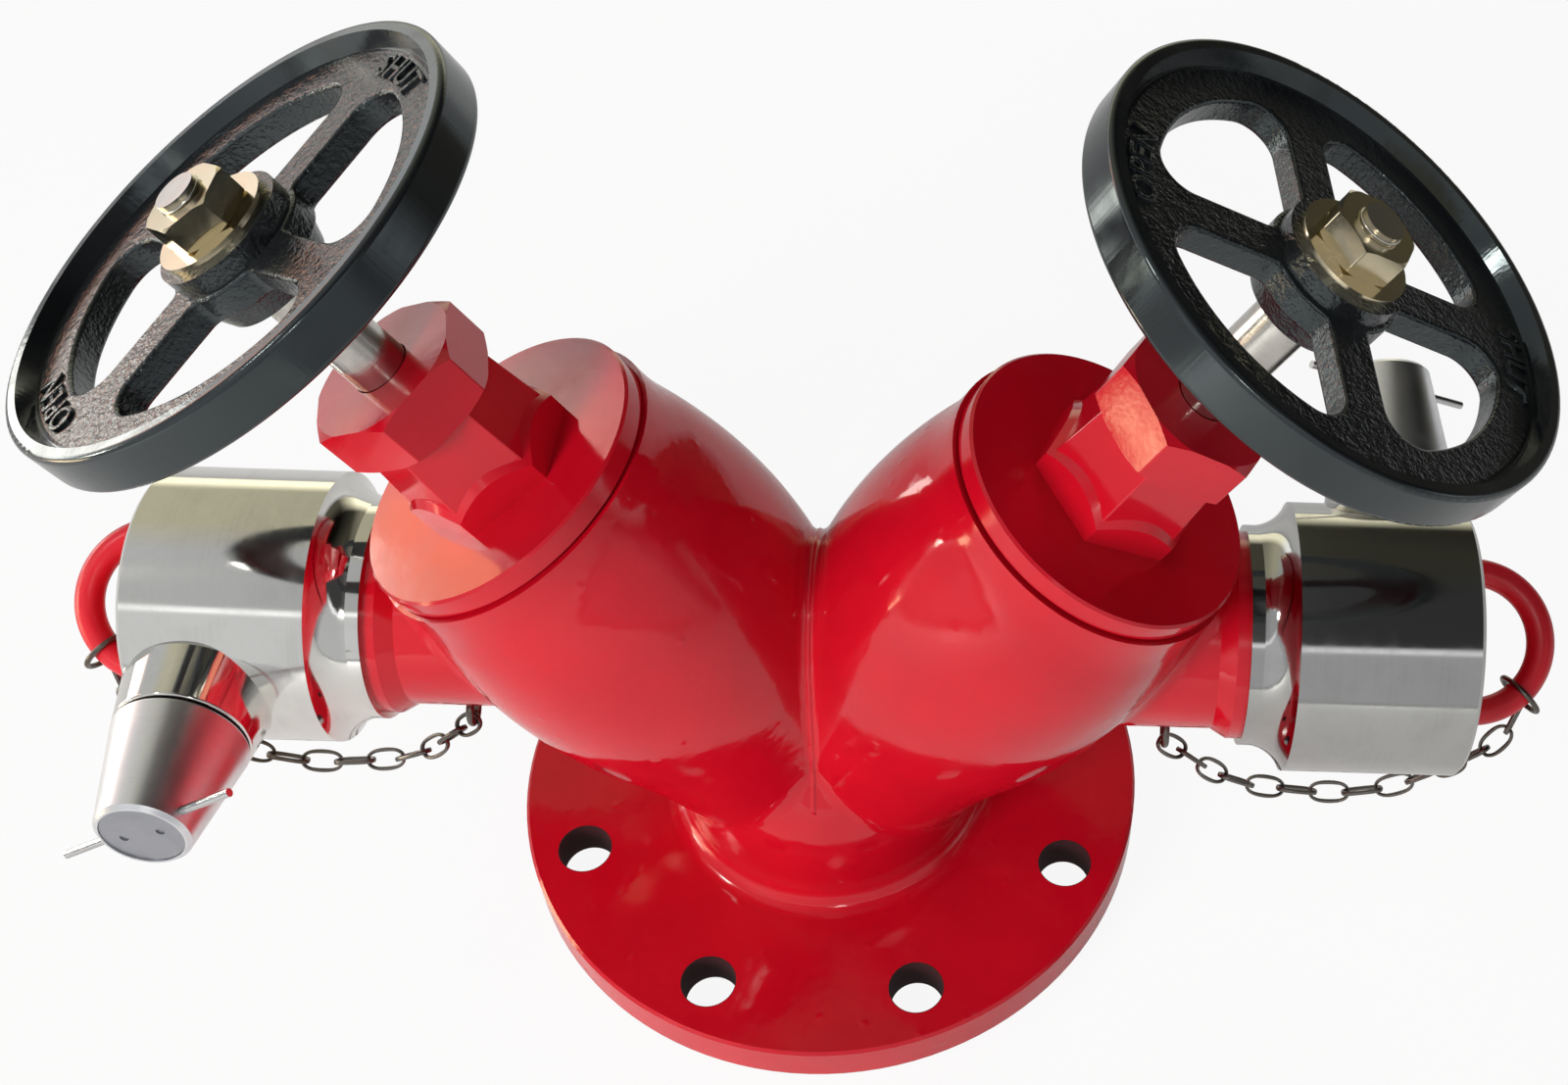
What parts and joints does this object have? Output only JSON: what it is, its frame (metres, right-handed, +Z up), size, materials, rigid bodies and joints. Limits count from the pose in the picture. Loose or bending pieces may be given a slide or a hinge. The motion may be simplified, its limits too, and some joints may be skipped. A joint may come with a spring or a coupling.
{
  "type": "hydrant valve",
  "caption": "Red flanged hydrant valve with twin inclined screw-down heads, black handwheels and polished hose couplings closed by chained caps.",
  "frame": {"origin": "centre of the inlet flange's bottom face, on its bolt circle's axis", "axes": "+Z up along the inlet, +X along the outlets, -Y towards the side the picture shows"},
  "size_m": [0.476, 0.216, 0.3073],
  "materials": {
    "red_paint": "gloss red paint over a casting",
    "black_paint": "gloss black paint over a casting",
    "stainless": "turned stainless steel",
    "chrome_plate": "polished plate",
    "brass_washer": "pale plated brass",
    "gunmetal": "machined gunmetal",
    "rubber": "black moulded rubber",
    "gasket": "dark fibre and graphite",
    "knob_alloy": "satin grey alloy",
    "red_plastic": "bright red moulded plastic",
    "chain_steel": "dull dark wire"
  },
  "bodies": {
    "valve": {"valve_body": "red_paint", "right_seat_ring": "gunmetal", "right_bonnet_gasket": "gasket", "right_bonnet": "red_paint", "right_gland_packing": "gasket", "right_gland_follower": "gunmetal", "right_gland_nut": "red_paint", "right_coupling": "chrome_plate", "right_hose_washer": "rubber", "right_spring_cap": "stainless", "right_lug_spring": "stainless", "right_blank_cap": "red_plastic", "right_chain_eye": "chain_steel", "right_chain": "chain_steel", "left_seat_ring": "gunmetal", "left_bonnet_gasket": "gasket", "left_bonnet": "red_paint", "left_gland_packing": "gasket", "left_gland_follower": "gunmetal", "left_gland_nut": "red_paint", "left_coupling": "chrome_plate", "left_hose_washer": "rubber", "left_spring_cap": "stainless", "left_lug_spring": "stainless", "left_blank_cap": "red_plastic", "left_chain_eye": "chain_steel", "left_chain": "chain_steel"},
    "right_disc": {"right_valve_disc": "gunmetal", "right_disc_seal": "rubber", "right_disc_washer": "gunmetal", "right_disc_bolt": "gunmetal", "right_swivel_nut": "gunmetal"},
    "right_wheel": {"right_spindle": "stainless", "right_handwheel": "black_paint", "right_wheel_washer": "brass_washer", "right_wheel_nut": "brass_washer"},
    "right_lug": {"right_lug_plunger": "stainless", "right_lug_knob": "knob_alloy", "right_knob_plate": "knob_alloy", "right_knob_pin": "stainless"},
    "left_disc": {"left_valve_disc": "gunmetal", "left_disc_seal": "rubber", "left_disc_washer": "gunmetal", "left_disc_bolt": "gunmetal", "left_swivel_nut": "gunmetal"},
    "left_wheel": {"left_spindle": "stainless", "left_handwheel": "black_paint", "left_wheel_washer": "brass_washer", "left_wheel_nut": "brass_washer"},
    "left_lug": {"left_lug_plunger": "stainless", "left_lug_knob": "knob_alloy", "left_knob_plate": "knob_alloy", "left_knob_pin": "stainless"}
  },
  "joints": [
    {"name": "right_disc_lift", "type": "slide", "parent": "valve", "child": "right_disc", "axis": [0.515, 0, 0.8572], "range_m": [0, 0.0201]},
    {"name": "right_wheel_turn", "type": "hinge", "parent": "right_disc", "child": "right_wheel", "pos_m": [0, 0, 0.026], "axis": [0.515, 0, 0.8572], "range_deg": [0, 1440]},
    {"name": "right_lug_pull", "type": "slide", "parent": "valve", "child": "right_lug", "axis": [0, 0.9272, 0.3746], "range_m": [0, 0.008], "stiffness_N_per_m": 900, "springref_m": -0.012, "deforming": ["right_lug_spring"]},
    {"name": "left_disc_lift", "type": "slide", "parent": "valve", "child": "left_disc", "axis": [-0.515, 0, 0.8572], "range_m": [0, 0.0201]},
    {"name": "left_wheel_turn", "type": "hinge", "parent": "left_disc", "child": "left_wheel", "pos_m": [0, 0, 0.026], "axis": [-0.515, 0, 0.8572], "range_deg": [0, 1440]},
    {"name": "left_lug_pull", "type": "slide", "parent": "valve", "child": "left_lug", "axis": [0, -0.9945, 0.1045], "range_m": [0, 0.008], "stiffness_N_per_m": 900, "springref_m": -0.012, "deforming": ["left_lug_spring"]}
  ],
  "couplings": [
    {"joint": "right_disc_lift", "follows": "right_wheel_turn", "m_per_rad": 0.00079577},
    {"joint": "left_disc_lift", "follows": "left_wheel_turn", "m_per_rad": 0.00079577}
  ]
}
